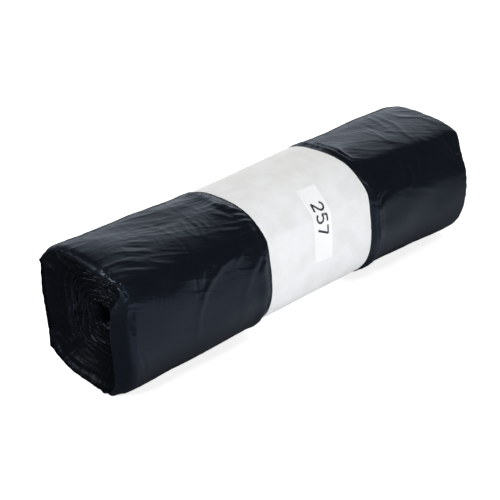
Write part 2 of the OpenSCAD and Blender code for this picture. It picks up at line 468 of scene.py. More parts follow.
def waves(seed, x, angle, wave):
    height, length, width = wave
    return height * roll_noise(seed, x, angle, length, width)


def band_radius(x, turn):
    """Outer face of the band, with the crease and the slight dents of real paper."""
    angle = turn + LAP_ANGLE
    crease = np.exp(-angle_off(angle, BAND_CREASE) / CREASE_WIDTH)
    flats = sum(near_angle(angle, BAND_CREASE + off, FLAT_WIDTH) for off in (-FLAT_OFF, FLAT_OFF))
    dented = BAND_SECTION(x, turn) + waves(201, x, angle, DENTS) + waves(202, x, angle, RIPPLES)
    return dented + CREASE_H * crease - FLAT_DEPTH * flats


def on_ring(x, radius, angle):
    return np.stack([x, radius * np.cos(angle), AXIS_Z + radius * np.sin(angle)], -1)


def paper_band():
    """The paper strip: an outer face, an inner face and cut edges."""
    t, turn = np.meshgrid(np.linspace(-1, 1, BAND_ROWS), turns_round(BAND_COLUMNS), indexing="ij")
    angle = turn + LAP_ANGLE
    edge = BAND_EDGE_WAVE * lobed_noise(203, angle, 3, np.sign(t) * 2)
    x = t * (HALF_BAND - BAND_EDGE) + edge * np.abs(t)
    radius = band_radius(x, turn)
    outer, inner = on_ring(x, radius, angle), on_ring(x, radius - BAND_T, angle)
    lowest = 0.02 * MM
    outer[..., 2] = np.maximum(outer[..., 2], lowest)
    inner[..., 2] = np.maximum(inner[..., 2], lowest + BAND_T)
    points = np.stack([outer, inner])
    outside, inside = numbered(2, BAND_ROWS, BAND_COLUMNS)
    faces = tube_faces(np.concatenate([outside, inside[::-1], outside[:1]]))
    piece = roll_piece("band", points, faces.tolist(), BAND_PAPER)
    sharp_edges(piece)
    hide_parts("paper_band")


# Outer film

FILM_STATIONS = np.linspace(HALF_BAND + 0.6 * MM, HALF_L - 11 * MM, 80)
FILM_ROWS = 200
CURL_ROWS = 40
FILM_COLUMNS = 430
FILM_LOWEST = 0.05 * MM

# How the film comes out from under the band
FILM_TUCK = 2.5 * MM
TUCK_GAP = 0.1 * MM
TUCK_FROM, TUCK_REACH = 0.15 * MM, 2.2 * MM

# Folds given one by one as (height, width, places), each place an x in mm and an angle in degrees
NEAR_FOLDS = [
    (0.30, 1.1, [(-114, 103), (-106, 111), (-98, 119)]),
    (0.32, 1.0, [(-118, 113), (-112, 119), (-107, 124)]),
    (-0.25, 1.0, [(-109, 99), (-98, 114)]),
    (-0.25, 0.9, [(-113, 111), (-103, 122)]),
    (-0.25, 1.2, [(-117, 121), (-107, 130)]),
    (0.25, 1.3, [(-104, 97), (-94, 108)]),
    (0.18, 1.4, [(-86, 79), (-82, 94), (-81, 108)]),
    (0.15, 1.2, [(-83, 104), (-80, 117)]),
    (0.26, 1.0, [(-63, 92), (-66, 103), (-66, 113), (-70, 124)]),
    (0.20, 0.8, [(-69, 95), (-70, 103), (-74, 112), (-73, 121)]),
    (0.22, 0.9, [(-59, 97), (-62, 105), (-63, 117), (-67, 124)]),
    (-0.22, 0.9, [(-65, 98), (-67, 108), (-70, 117)]),
    (0.16, 1.0, [(-76, 101), (-79, 112)]),
    (0.12, 1.0, [(-54, 83), (-56, 97)]),
    (0.40, 1.0, [(-44, 84), (-46, 97), (-43, 109), (-36, 112)]),
    (0.40, 0.9, [(-47, 95), (-45, 110), (-37, 115)]),
    (-0.35, 1.0, [(-50, 100), (-46, 113), (-38, 118)]),
    (0.45, 1.1, [(-53, 106), (-47, 118), (-38, 122)]),
    (-0.35, 0.9, [(-49, 113), (-44, 122), (-38, 125)]),
    (0.40, 1.0, [(-54, 121), (-46, 125), (-37, 128)]),
    (0.35, 1.2, [(-58, 126), (-50, 130), (-40, 132)]),
    (0.45, 1.3, [(-52, 137), (-44, 136), (-37, 136)]),
    (0.34, 1.7, [(-89, 199), (-87, 177), (-82, 164), (-75, 156), (-67, 150), (-57, 146), (-45, 145)]),
    (0.45, 0.9, [(-127.5, 149), (-128.7, 157), (-128.7, 171)]),
    (-0.60, 1.2, [(-124.5, 150), (-125.8, 158), (-125.8, 168)]),
    (0.25, 1.0, [(-122, 188), (-119, 200), (-119, 212)]),
    (0.25, 0.9, [(-125, 190), (-123, 202), (-120, 214)]),
    (-0.35, 1.2, [(-82, 127), (-86, 139)]),
    (-0.30, 1.2, [(-84, 136), (-86, 148), (-87, 166)]),
    (-0.30, 1.5, [(-79, 147), (-81, 160)]),
    (-0.60, 1.6, [(-47, 168), (-44, 163), (-42, 158)]),
    (0.20, 2.2, [(-59, 189), (-53, 171), (-47, 158)]),
    (0.15, 2.2, [(-62, 212), (-54, 188)]),
    (0.20, 1.6, [(-60, 154), (-53, 146)]),
]
FAR_FOLDS = [
    (0.28, 1.6, [(97, 56), (93, 76), (87, 101)]),
    (0.30, 1.7, [(102, 57), (98, 78), (96, 96), (90, 113), (90, 124)]),
    (0.28, 1.7, [(108, 69), (107, 86), (116, 100), (119, 118)]),
    (0.20, 1.2, [(75, 84), (76, 104)]),
    (0.24, 1.2, [(80, 85), (75, 111), (78, 118)]),
    (0.18, 1.0, [(70, 106), (77, 119)]),
    (-0.24, 1.8, [(84, 70), (82, 92), (84, 112)]),
    (0.55, 0.9, [(42, 60), (42, 82), (41, 98), (41, 111), (42, 117)]),
    (0.50, 1.0, [(49, 60), (47, 81), (44, 102), (44, 114)]),
    (-0.50, 1.0, [(45, 62), (44.5, 81), (42.5, 102), (42.5, 114)]),
    (0.60, 0.9, [(41, 117), (39.5, 127), (39.5, 135), (40, 142), (42, 149)]),
    (-0.50, 1.0, [(45, 118), (42, 132), (42, 142)]),
    (0.60, 1.3, [(41, 160), (42, 152), (47, 149), (57, 147)]),
    (-0.50, 1.4, [(45, 160), (48, 156), (55, 152)]),
    (0.22, 0.8, [(41, 156), (40.5, 176), (41, 196)]),
    (0.16, 0.8, [(44, 162), (43.5, 181), (44.5, 204)]),
    (0.12, 0.9, [(47, 166), (46.5, 186)]),
    (-0.18, 0.8, [(42.5, 160), (42, 180), (42.7, 202)]),
    (0.40, 1.4, [(75, 138), (76, 151), (71, 157)]),
    (-0.35, 1.4, [(72, 125), (72, 136), (74, 148)]),
    (0.25, 1.3, [(85, 138), (82, 150)]),
    (0.50, 1.3, [(108, 134), (115, 147), (121, 150)]),
    (0.45, 1.3, [(107, 142), (112, 151), (120, 161)]),
    (-0.45, 1.2, [(112, 137), (118, 150), (123, 153)]),
    (0.40, 1.2, [(116, 130), (118, 138), (122, 146)]),
    (0.25, 2.0, [(51, 151), (72, 157), (103, 176)]),
]

# The bevel between the top and the -Y side, as x in mm and the angles of its upper and its lower edge
BEVEL = {
    NEAR: [(-130, 137, 147), (-121, 136, 147), (-110, 134, 152), (-102, 134, 155), (-97, 134, 152),
           (-88, 135, 148), (-68, 138, 149), (-50, 142, 151), (-38, 143, 152)],
    FAR: [(38, 112, 150), (46, 119, 152), (54, 123, 154), (67, 126, 157), (86, 129, 162), (98, 131, 167),
          (112, 131, 169), (130, 133, 169)],
}
BEVEL_FLATNESS = 0.9
BEVEL_SOFTNESS = 4
BEVEL_CREST, BEVEL_CREST_WIDTH = 0.15 * MM, 3

# Wrinkles: their slope, share and calm facet, and for each kind the height, the length and the width in mm.
# Crests also have a sharpness, and how far the film is sunk between them.
WRINKLE_SEED = {NEAR: 10, FAR: 40}
WRINKLE_SLOPE = {NEAR: math.radians(22), FAR: math.radians(30)}
WRINKLE_SHARE = {NEAR: 1, FAR: 0.7}
CROSS_SLOPE = math.radians(100)
FACET_ANGLE, FACET_WIDTH, FACET_CALM = 185, 40, 0.85
PATCH_SIZE = 28 * MM
SWELL = 0.45, 45, 15
LONG_CRESTS = 0.24, 26, 5.5, 0.2, 0.35
CROSS_CRESTS = 0.14, 16, 4.5, 0.16, 0.3
FINE_CRESTS = 0.07, 12, 2.4, 0.25, 0.4

# Pleats where the band gathers the film
PLEATS = 0.35 * MM, 24 * MM, 3.0 * MM
PLEATS_FROM, PLEATS_REACH = 1.5 * MM, 7 * MM

# Crumples along the rims, calmer where the film folds in and over the near end's top, and sharp ones at
# its upper corner
RIM_CRUMPLE_REACH = 4 * MM
CRUMPLES = 0.5 * MM, 5 * MM, 5 * MM
FINE_CRUMPLES = 0.25 * MM, 2.2 * MM, 2.2 * MM
CRUMPLE_SUNK = 0.3 * MM
NEAR_TOP, NEAR_TOP_WIDTH = 100, 42
OVER_CALM, TOP_CALM, TEETH_CALM = 0.93, 0.7, 0.8
CORNER_X, CORNER_ANGLES, CORNER_REACH = -129 * MM, (116, 139), 6.5 * MM
CORNER_CREASE_L, CORNER_CREASE_W = 9 * MM, 3 * MM
CORNER_CREASE_H, CORNER_CREASE_SUNK = 1.3 * MM, 0.4 * MM
PUCKER, PUCKER_L, PUCKER_W = 1.5 * MM, 4.5 * MM, 2.4 * MM

# Rim: how far it curls in, and how the -Y side folds in over the turns at the near end
RIM_CURL = 2 * MM
RIM_REACH = 4 * MM
OVER_FOLD = 11 * MM
OVER_REACH = 4.5 * MM
OVER_FROM, OVER_TO = 134, 246
OVER_RISE, OVER_FALL = 14, 40

# The rim's outline: broad waves and teeth as height and number of lobes, and corners of the film that
# stick out at the near end, as the angle, the length in mm and the width in degrees
RIM_SEED = {NEAR: 71, FAR: 91}
RIM_WAVES, RIM_TEETH = (0.5 * MM, 1.6), (0.3 * MM, 7)
RIM_TIPS = [(33, 1.8, 5), (56, 0.6, 5), (319, 1.6, 4), (243, 1.2, 3), (252, 1.0, 3)]

# Where those corners also stand out sideways, in the same form
TIPS_OUTWARD = [(33, 0.8, 7), (56, 0.4, 7)]
TIP_REACH = 3 * MM

# How far the top falls away towards the near rim
FALL = 4.0 * MM
FALL_REACH = 18 * MM
FALL_ANGLE, FALL_WIDTH = 103, 28

# Gloss, and by what share it is lowered as painted shade where the film folds in, at its foot and over the
# near rim's bend, and how far it is raised as painted glints at the near rim's corner and beside the band
FILM_GLOSS = 0.2
FOLDED_PAINTED_SHADE, FOLDED_REACH, FOLDED_EASE = 0.85, 2.6 * MM, 1.6 * MM
FOOT_PAINTED_SHADE, FOOT_ANGLE, FOOT_WIDTH = 0.7, 226, 22
BEND_PAINTED_SHADE, BEND_ANGLE, BEND_WIDTH = 0.85, 95, 45
BEND_REACH, BEND_EASE = 4.5 * MM, 2 * MM
CORNER_GLINTS = 0.4
BAND_GLINTS, GLINT_ANGLE, GLINT_WIDTH = 0.6, 143, 12
GLINT_PAST_BAND, GLINT_REACH = 2.5 * MM, 2 * MM


def over_share(side, angle):
    """How fully the film folds in over the turns at each angle round the near end."""
    a = degrees_round(angle)
    return (side == NEAR) * eased((a - OVER_FROM) / OVER_RISE) * eased((OVER_TO - a) / OVER_FALL)


def over_length(side, angle):
    """How far the film stands out past the turns, in metres."""
    middle = (OVER_FROM + OVER_TO) / 2
    return (side == NEAR) * OVER_L * near_angle(angle, middle, OVER_RISE + OVER_FALL)


def top_fall(side, angle, left):
    """How far the top falls away towards the near rim, in metres."""
    t = np.clip(1 - left / FALL_REACH, 0, 1)
    return (side == NEAR) * FALL * near_angle(angle, FALL_ANGLE, FALL_WIDTH) * t * t


def corner_tips(side, angle, tips):
    """How far the near rim's corners stand out, in metres."""
    return (side == NEAR) * MM * sum(h * np.exp(-angle_off(angle, a) / w) for a, h, w in tips)


def near_top(angle):
    return near_angle(angle, NEAR_TOP, NEAR_TOP_WIDTH)


def rim_wave(side, angle):
    """How far the film's rim stands back from where it would be if it were cut straight, in metres."""
    (wave_h, wave_lobes), (tooth_h, tooth_lobes) = RIM_WAVES, RIM_TEETH
    broad = wave_h * lobed_noise(RIM_SEED[side], angle, wave_lobes, 0.3)
    teeth = tooth_h * np.abs(lobed_noise(RIM_SEED[side] + 1, angle, tooth_lobes, 0.7))
    calm = 1 - (side == NEAR) * TEETH_CALM * near_top(angle)
    return broad + teeth * calm - corner_tips(side, angle, RIM_TIPS)


def laid_folds(folds, u, v):
    """Height in metres of listed folds, each a height, a width and a line of places, all in mm."""
    blunt_end = 0.12
    total = np.zeros_like(u)
    for height, width, places in folds:
        line = np.array(places) * MM
        nearest, along = np.full_like(u, 1.0), np.zeros_like(u)
        for k, (start, way) in enumerate(zip(line, np.diff(line, axis=0))):
            off_u, off_v = u - start[0], v - start[1]
            t = np.clip((off_u * way[0] + off_v * way[1]) / (way @ way), 0, 1)
            gap = np.hypot(off_u - t * way[0], off_v - t * way[1])
            closer = gap < nearest
            nearest = np.where(closer, gap, nearest)
            along = np.where(closer, (k + t) / (len(line) - 1), along)
        taper = np.sqrt(np.clip(4 * along * (1 - along), blunt_end, 1))
        total += height * MM * taper * bell(nearest, width * MM)
    return total


def film_folds(side, x, angle):
    """Height of the listed folds on the outer film, whose places are given as x in mm and an angle."""
    unrolled = [
        (height, width, [(px, MEAN_R / MM * math.radians(pa)) for px, pa in places])
        for height, width, places in (NEAR_FOLDS if side == NEAR else FAR_FOLDS)
    ]
    return laid_folds(unrolled, x, MEAN_R * np.radians(degrees_round(angle)))


def sheet_place(x, arc, slope):
    """Places along a slope from the roll's axis, and across it."""
    return x * math.cos(slope) + arc * math.sin(slope), arc * math.cos(slope) - x * math.sin(slope)


def streaks(seed, x, arc, length, width, slope):
    """Noise drawn out along a slope from the roll's axis, with its grain's size in mm."""
    u, v = sheet_place(x, arc, slope)
    return Noise(seed)(u / (length * MM), v / (width * MM), 0.5)


def crests(seed, x, arc, kind, slope):
    """Height of narrow crests drawn out along a slope, in metres."""
    height, length, width, sharp, sunk = kind
    return height * MM * (ridge(streaks(seed, x, arc, length, width, slope), sharp) - sunk)


def slanting_wrinkles(side, x, angle, calm):
    """Height of the long slanting wrinkles and of the patches of short ones across them, in metres."""
    seed, slope, share = WRINKLE_SEED[side], WRINKLE_SLOPE[side], WRINKLE_SHARE[side]
    arc = MEAN_R * angle
    patches = eased(0.5 + 0.9 * roll_noise(seed + 1, x, angle, PATCH_SIZE, PATCH_SIZE))
    swell_h, swell_l, swell_w = SWELL
    height = swell_h * MM * streaks(seed + 2, x, arc, swell_l, swell_w, slope)
    height = height + share * calm * (0.35 + patches) * crests(seed + 3, x, arc, LONG_CRESTS, slope)
    height = height + share**2 * calm * (1 - patches) * crests(seed + 4, x, arc, CROSS_CRESTS, CROSS_SLOPE)
    return height + calm * crests(seed + 5, x, arc, FINE_CRESTS, slope)


def crumpled_corner(x, angle):
    """How crumpled the film is at the upper corner of its near rim, from 0 to 1."""
    off = [np.hypot(x - CORNER_X, MEAN_R * np.radians(angle_off(angle, a))) for a in CORNER_ANGLES]
    return bell(np.minimum(*off), CORNER_REACH)


def corner_creases(seed, x, angle):
    """Height of the sharp creases that run slantwise over the near rim's upper corner, in metres."""
    y, z = MEAN_R * np.cos(angle), MEAN_R * np.sin(angle)
    creases = Noise(seed)(x / CORNER_CREASE_L, (y + z) / CORNER_CREASE_L, (y - z) / CORNER_CREASE_W)
    return CORNER_CREASE_H * np.abs(creases) - CORNER_CREASE_SUNK


def rim_crumples(side, x, angle):
    """Height of the crumples along a rim, in metres."""
    seed = WRINKLE_SEED[side]
    coarse = np.abs(waves(seed + 7, x, angle, CRUMPLES))
    fine = np.abs(waves(seed + 8, x, angle, FINE_CRUMPLES))
    at_rim = np.exp((np.abs(x) - HALF_L) / RIM_CRUMPLE_REACH) * (1 - OVER_CALM * over_share(side, angle))
    if side == FAR:
        return at_rim * (coarse + fine - CRUMPLE_SUNK)
    corner, top = crumpled_corner(x, angle), near_top(angle)
    at_rim = at_rim * (1 - TOP_CALM * top)
    height = at_rim * (coarse + fine * (1 - top) * (1 - corner) - CRUMPLE_SUNK)
    return height + corner * corner_creases(seed + 9, x, angle)


def film_wrinkles(side, x, angle):
    """Height of all that wrinkles the outer film, in metres."""
    calm = 1 - FACET_CALM * near_angle(angle, FACET_ANGLE, FACET_WIDTH)
    past_band = np.abs(x) - HALF_BAND
    gathered = np.exp(-past_band / PLEATS_REACH) * eased(past_band / PLEATS_FROM) * (0.4 + 0.6 * calm)
    pleats = gathered * waves(WRINKLE_SEED[side] + 6, past_band, angle, PLEATS)
    body = slanting_wrinkles(side, x, angle, calm) + pleats
    return body + rim_crumples(side, x, angle) + film_folds(side, x, angle)


def bevelled(side, section, x, turn):
    """The section's radius, with the bevel pressed nearly flat at the top and rounding out lower down."""
    radius = section(x, turn)
    stations, *edges = np.array(BEVEL[side]).T
    upper, lower = [np.interp(x, stations * MM, edge) for edge in edges]
    r_upper, r_lower = [section(x, np.radians(edge) - LAP_ANGLE + 2 * math.pi) for edge in (upper, lower)]
    a = degrees_round(turn + LAP_ANGLE)
    within = np.clip(a, upper, lower)
    chord = r_upper * r_lower * np.sin(np.radians(lower - upper)) / (
        r_upper * np.sin(np.radians(within - upper)) + r_lower * np.sin(np.radians(lower - within))
    )
    way_down = (within - upper) / (lower - upper)
    flatness = BEVEL_FLATNESS * (1 - way_down**6) ** 2
    inside = (a > upper) & (a < lower)
    pressed = smoothed(np.where(inside, flatness * (chord - radius), 0), BEVEL_SOFTNESS, 1)
    return radius + pressed + BEVEL_CREST * np.exp(-np.abs(a - upper) / BEVEL_CREST_WIDTH)


def film_radius(side, x, turn, left):
    """Radius of the outer film, from under the band to the rim, which is left metres away."""
    stations = FILM_STATIONS if side == FAR else -FILM_STATIONS[::-1]
    angle = turn + LAP_ANGLE
    radius = bevelled(side, Section("bag_roll", stations, 1.2, 2.0), x, turn)
    radius = radius + film_wrinkles(side, x, angle) - RIM_CURL * rounded(left, RIM_REACH)
    radius = radius - OVER_FOLD * over_share(side, angle) * rounded(left, OVER_REACH)
    radius = radius - top_fall(side, angle, left)
    radius = radius + corner_tips(side, angle, TIPS_OUTWARD) * np.exp(-left / TIP_REACH)
    under = band_radius(np.clip(x, -HALF_BAND, HALF_BAND), turn) - BAND_T - TUCK_GAP
    past_band = np.abs(x) - HALF_BAND
    return under + (radius - under) * eased((past_band - TUCK_FROM) / TUCK_REACH)


# Gloss of the outer film: lowered as painted shade where it folds in, at its foot and over the near rim's
# bend, and raised as painted glints at the near rim's upper corner and beside the band.
def film_gloss(side, x, angle, left):
    folded = over_share(side, angle) * eased((FOLDED_REACH - left) / FOLDED_EASE)
    foot = near_angle(angle, FOOT_ANGLE, FOOT_WIDTH)
    gloss = FILM_GLOSS * (1 - FOLDED_PAINTED_SHADE * folded) * (1 - FOOT_PAINTED_SHADE * foot)
    if side == NEAR:
        bend = near_angle(angle, BEND_ANGLE, BEND_WIDTH) * eased((BEND_REACH - left) / BEND_EASE)
        return gloss * (1 - BEND_PAINTED_SHADE * bend) + CORNER_GLINTS * crumpled_corner(x, angle)
    beside_band = bell(x - HALF_BAND - GLINT_PAST_BAND, GLINT_REACH)
    return gloss + BAND_GLINTS * near_angle(angle, GLINT_ANGLE, GLINT_WIDTH) * beside_band


def puckered(x, points, angle, left):
    """Places along X of the near film, drawn in unevenly at its crumpled corner."""
    y, z = points[..., 1], points[..., 2] - AXIS_Z
    folded_in = crumpled_corner(x, angle) * eased(4 * rounded(left, OVER_REACH))
    return x + folded_in * PUCKER * np.abs(Noise(78)((y + z) / PUCKER_L, (z - y) / PUCKER_W, 0.5))


def outer_film(side):
    """One half of the outermost film, from under the band to the rim, and the rings of points of its curl."""
    turn = turns_round(FILM_COLUMNS)
    angle = turn + LAP_ANGLE
    start = HALF_BAND - FILM_TUCK
    stop = HALF_L + over_length(side, angle) - rim_wave(side, angle)
    straight = FILM_ROWS - CURL_ROWS
    t = np.linspace(0, 1, straight, endpoint=False)[:, None]
    quarter = np.linspace(0, math.pi / 2, CURL_ROWS)[:, None]
    x_straight = start + (stop - OVER_REACH - start) * t
    left_curl = OVER_REACH * (1 - np.sin(quarter)) * np.ones_like(turn)
    x = side * np.concatenate([x_straight, stop - left_curl])
    turn, angle = np.broadcast_to(turn, x.shape), np.broadcast_to(angle, x.shape)
    left = stop - np.abs(x)

    points = on_ring(x, film_radius(side, x, turn, left), angle)
    if side == NEAR:
        x = puckered(x, points, angle, left)
        points[..., 0] = x
    points[..., 2] = np.maximum(points[..., 2], FILM_LOWEST)
    faces = tube_faces(numbered(FILM_ROWS, FILM_COLUMNS))[:, ::side]
    piece = roll_piece(f"film_{END_NAME[side]}", points, faces.tolist(), FILM)
    u, v = sheet_place(x, MEAN_R * angle, WRINKLE_SLOPE[NEAR])
    sheet_attribute(piece, u, v, film_gloss(side, x, angle, left))
    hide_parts("bag_roll")
    return points[straight:]


# Wound ends

TURN_COUNT = 10
TURN_PHASES = np.array([0.0, 0.16, 0.3, 0.4, 0.5, 0.6, 0.7, 0.84])
TURN_SEED = {NEAR: 101, FAR: 131}
LIP_ROWS = 9
LIP_DOWN_TO = 27

# How far the spiral starts from the lip, how far its turns wander and where their crests are
SPIRAL_FROM = 0.015
WANDER, BUNDLE_WANDER = 0.03, 0.02
CREST_PHASE, CREST_WIDTH = 0.5, 0.17

# The eye and its throat, the dish that the turns lie in and the strip that joins them to the lip
EYE_R = 4.6 * MM
EYE_DROP = 1.5 * MM
THROAT_DEPTHS = 4 * MM, 12 * MM, 30 * MM
THROAT_NARROWS = 0.04
DISH = 8 * MM
DISH_SHARE = 0.6
DISH_EDGE = 0.6 * MM
JOIN_SHARE = 0.08

# Relief of the turns, which grows towards the eye and shows less away from one direction at the near end
RELIEF, OUTER_RELIEF = 2.0 * MM, 0.08
RAGGED = 0.5 * MM
LOOPS_FROM, LOOPS_TO = 0.22, 0.46
LOOPS_TOWARDS, LOOPS_HALF, LOOPS_EASE, LOOPS_FADE = 28, 70, 45, 0.75
LAYERS, LAYER_COUNT = 0.45 * MM, 17

# Crumpled places of the turns, and the pleated brow under the top: each an angle and its width, then the
# share of the way in and its width, and a crumpled place's strength
CRUMPLED = [(114, 24, 0.2, 0.16, 1), (262, 26, 0.03, 0.05, 0.12), (10, 34, 0.02, 0.05, 0.15)]
BROW = 88, 38, 0.08, 0.07
BROW_PLEATS, BROW_PLEAT_COUNT = 0.7 * MM, 34
COARSE_FOLDS = 3.4 * MM, 5.0 * MM, 2.2 * MM
SMALL_FOLDS = 1.1 * MM, 4.0 * MM, 1.5 * MM
FOLDS_SUNK = 1.4 * MM

# Gloss of the gaps, the lip and the crests, and the shade low on the near end. The low gloss of the gaps and
# the eye's wall is painted shade, the shine of crests, crumples, the brow and laid folds is a painted
# highlight, and the shade low on the near end is painted too
GAP_SHADE_GLOSS, LIP_GLOSS, LOOP_GLOSS = 0.03, 0.25, 0.45
CREST_SHINE, CRUMPLE_SHINE, BROW_SHINE = 0.8, 1.2, 0.45
FOLD_SHINE_H = 1.2 * MM
SHADE_ANGLE, SHADE_WIDTH = 258, 42
SHADE_ON_SHINE, SHADE_ON_GAPS = 0.7, 0.8

# Folds given one by one over the near end's turns: height, width and places as y and height from the axis, in
# mm
END_FOLDS = [
    (1.0, 1.1, [(19, 26), (9, 28), (-1, 28.6)]),
    (0.7, 1.2, [(30, 25), (25, 29), (19, 31)]),
    (-0.9, 1.2, [(17, 24), (6, 26), (-5, 27)]),
    (0.7, 1.0, [(14, 20.5), (2, 24), (-12, 25.5)]),
    (-0.6, 0.9, [(14, 18), (1, 21.7), (-12, 23.5)]),
    (0.6, 0.8, [(12, 16.5), (0, 19.8), (-11, 21.5)]),
    (0.9, 1.2, [(20, 29), (21.5, 24), (20, 18)]),
    (-0.8, 1.2, [(24, 27), (24, 21), (22, 15)]),
    (0.8, 1.0, [(30, 21), (29, 17), (27, 15)]),
    (0.5, 0.9, [(12.5, -16.5), (4, -16), (-7, -14.5)]),
    (0.25, 1.4, [(20, -27), (12, -28), (3, -26.5)]),
    (-0.3, 1.2, [(22, -20), (14, -23), (2, -23)]),
    (0.8, 0.8, [(27, -18), (25, -20)]),
    (0.6, 0.7, [(10, -32), (4, -32), (0, -31.5)]),
    (0.5, 0.8, [(21, 4), (22, -4), (21.5, -13), (18, -19)]),
    (0.7, 0.6, [(16, 9), (18.5, 5), (19.5, -8), (15.5, -15)]),
    (1.6, 0.8, [(7, 0.5), (0, 0.8)]),
    (1.4, 0.7, [(0, -3), (-8, -2.8)]),
    (1.4, 0.7, [(1, -6), (-8, -5.5)]),
]


def eye_ring(angle):
    """The eye's edge as y and z, a little lobed."""
    radius = EYE_R * (1 + 0.12 * np.sin(3 * angle + 0.4) + 0.06 * np.sin(5 * angle))
    return np.stack([radius * np.cos(angle), AXIS_Z - EYE_DROP + radius * np.sin(angle)], -1)


def film_lip(side, curl_points):
    """Inner face of the film at the rim, going back in behind its outer face."""
    rows = []
    centre = np.array([0, AXIS_Z])
    for k in np.linspace(CURL_ROWS - 1, LIP_DOWN_TO, LIP_ROWS).astype(int):
        ring = curl_points[k]
        out = unit(ring[:, 1:] - centre)
        slope = math.pi / 2 * k / (CURL_ROWS - 1)
        flat = ring[:, 1:] - out * FILM_T * (0.3 + 0.7 * math.cos(slope))
        x = ring[:, 0] - side * FILM_T * math.sin(slope) * (k < CURL_ROWS - 1)
        rows.append(np.concatenate([x[:, None], flat], -1))
    return np.array(rows)


def end_place(angle, share, place):
    """How near a point of the turns is to a place, from 0 to 1."""
    at_angle, angle_width, at_share, share_width = place
    return near_angle(angle, at_angle, angle_width) * bell(share - at_share, share_width)


def end_folds(seed, flat, depth, kind):
    height, across, up = kind
    return height * np.abs(Noise(seed)(flat[..., 0] / across, flat[..., 1] / up, depth))


def spiral(side, base, turn):
    """Points of the turns from the lip's last ring to the eye, their shares of the way in and their gloss,
    with painted shade in the gaps and painted highlights on the crests.
    """
    seed = TURN_SEED[side]
    per_turn = len(TURN_PHASES)
    row = np.arange(per_turn * TURN_COUNT + 1)
    phase = TURN_PHASES[row % per_turn][:, None]
    way = (row // per_turn)[:, None] + phase + (turn / (2 * math.pi))[None, :]
    angle = np.broadcast_to(turn + LAP_ANGLE, way.shape)
    share = way / (TURN_COUNT + 1)

    middle_rows = np.sin(math.pi * np.clip(share, 0, 1)) ** 0.7
    wander = WANDER * lobed_noise(seed, angle, 1.5, way * 0.35)
    wander = wander + BUNDLE_WANDER * lobed_noise(seed + 1, angle, 0.8, way * 0.9)
    inward = (SPIRAL_FROM + (1 - SPIRAL_FROM) * (share + wander * middle_rows))[..., None]
    flat = base[None, :, 1:] * (1 - inward) + eye_ring(turn + LAP_ANGLE)[None] * inward

    inner = eased((share - LOOPS_FROM) / (LOOPS_TO - LOOPS_FROM))
    plain = eased((angle_off(angle, LOOPS_TOWARDS) - LOOPS_HALF) / LOOPS_EASE) if side == NEAR else 0
    strength = (OUTER_RELIEF + (1 - OUTER_RELIEF) * inner) * (1 - LOOPS_FADE * plain)
    crest = bell(phase - CREST_PHASE, CREST_WIDTH)
    lifted = eased(0.5 + 0.9 * lobed_noise(seed + 2, angle, 2.2, way * 0.8))
    uneven_crest = crest * (0.3 + 0.7 * lifted)
    ragged = RAGGED * crest * lobed_noise(seed + 3, angle, 7, way * 1.7)
    depth = DISH * np.sin(math.pi / 2 * np.minimum(1, share / DISH_SHARE)) + DISH_EDGE
    depth = depth + strength * (RELIEF * (0.6 - uneven_crest) + ragged)
    depth = depth + (1 - inner) * LAYERS * lobed_noise(seed + 6, angle, 1.6, share * LAYER_COUNT)

    brow = end_place(angle, share, BROW)
    depth = depth + brow * BROW_PLEATS * lobed_noise(seed + 7, angle, 1.2, share * BROW_PLEAT_COUNT)
    crumpled = sum(place[-1] * end_place(angle, share, place[:-1]) for place in CRUMPLED)
    folds = end_folds(seed + 4, flat, way * 0.4, COARSE_FOLDS)
    folds = folds + end_folds(seed + 5, flat, way * 0.6, SMALL_FOLDS)
    depth = depth - crumpled * (folds - FOLDS_SUNK)
    # Shine is a painted highlight on the crests, crumples and brow, carried by the gloss
    shine = np.maximum(CREST_SHINE * strength * uneven_crest, CRUMPLE_SHINE * crumpled + BROW_SHINE * brow)
    shine = np.minimum(1, shine)
    # Painted shade low on the near end, and painted highlights on the laid folds
    shade = 0
    if side == NEAR:
        shade = near_angle(angle, SHADE_ANGLE, SHADE_WIDTH)
        laid = laid_folds(END_FOLDS, flat[..., 0], flat[..., 1] - AXIS_Z)
        depth = depth - laid
        shine = np.maximum(shine * (1 - SHADE_ON_SHINE * shade), np.clip(laid / FOLD_SHINE_H, 0, 1))

    base_depth = HALF_L - side * base[:, 0]
    join = 1 - eased(share / JOIN_SHARE)
    depth = base_depth[None] * join + depth * (1 - join)
    points = np.concatenate([side * (HALF_L - depth)[..., None], flat], -1)
    gloss = GAP_SHADE_GLOSS * (1 - SHADE_ON_GAPS * shade) + (LOOP_GLOSS - GAP_SHADE_GLOSS) * shine
    return points, share, gloss


def throat(side, turn):
    """Rings of the eye's wall, going in behind the turns."""
    eye = eye_ring(turn + LAP_ANGLE)
    rings = []
    for k, dip in enumerate(THROAT_DEPTHS):
        narrow = THROAT_NARROWS * k
        ring = eye * (1 - narrow) + np.array([0, AXIS_Z - EYE_DROP]) * narrow
        rings.append(np.concatenate([np.full((len(turn), 1), side * (HALF_L - DISH - dip)), ring], -1))
    return np.array(rings)


def end_faces(lip_rows, spiral_rows, throat_rows):
    """Faces of a wound end, with rings closed onto themselves and turns joined to the next one in."""
    per_turn = len(TURN_PHASES)
    first, eye = lip_rows, lip_rows + spiral_rows
    last = eye - 1
    rows = numbered(eye + throat_rows, FILM_COLUMNS)
    start, end = rows[:, 0], rows[:, -1]

    def closing(k, step):
        return np.stack([end[k], start[k + step], start[k + step + 1], end[k + 1]], -1)

    parts = [
        grid_faces(rows),
        closing(np.arange(first - 1), 0),
        closing(np.arange(first, last - per_turn), per_turn),
        closing(np.arange(eye, len(rows) - 1), 0),
        fan_faces(end[first - 1], [*start[first - 1:first + per_turn + 1], end[first]]),
        fan_faces(end[eye], end[last - per_turn:eye]),
        fan_faces(end[eye], [end[last - per_turn], start[last], start[eye]]),
    ]
    return [face for part in parts for face in part.tolist()]


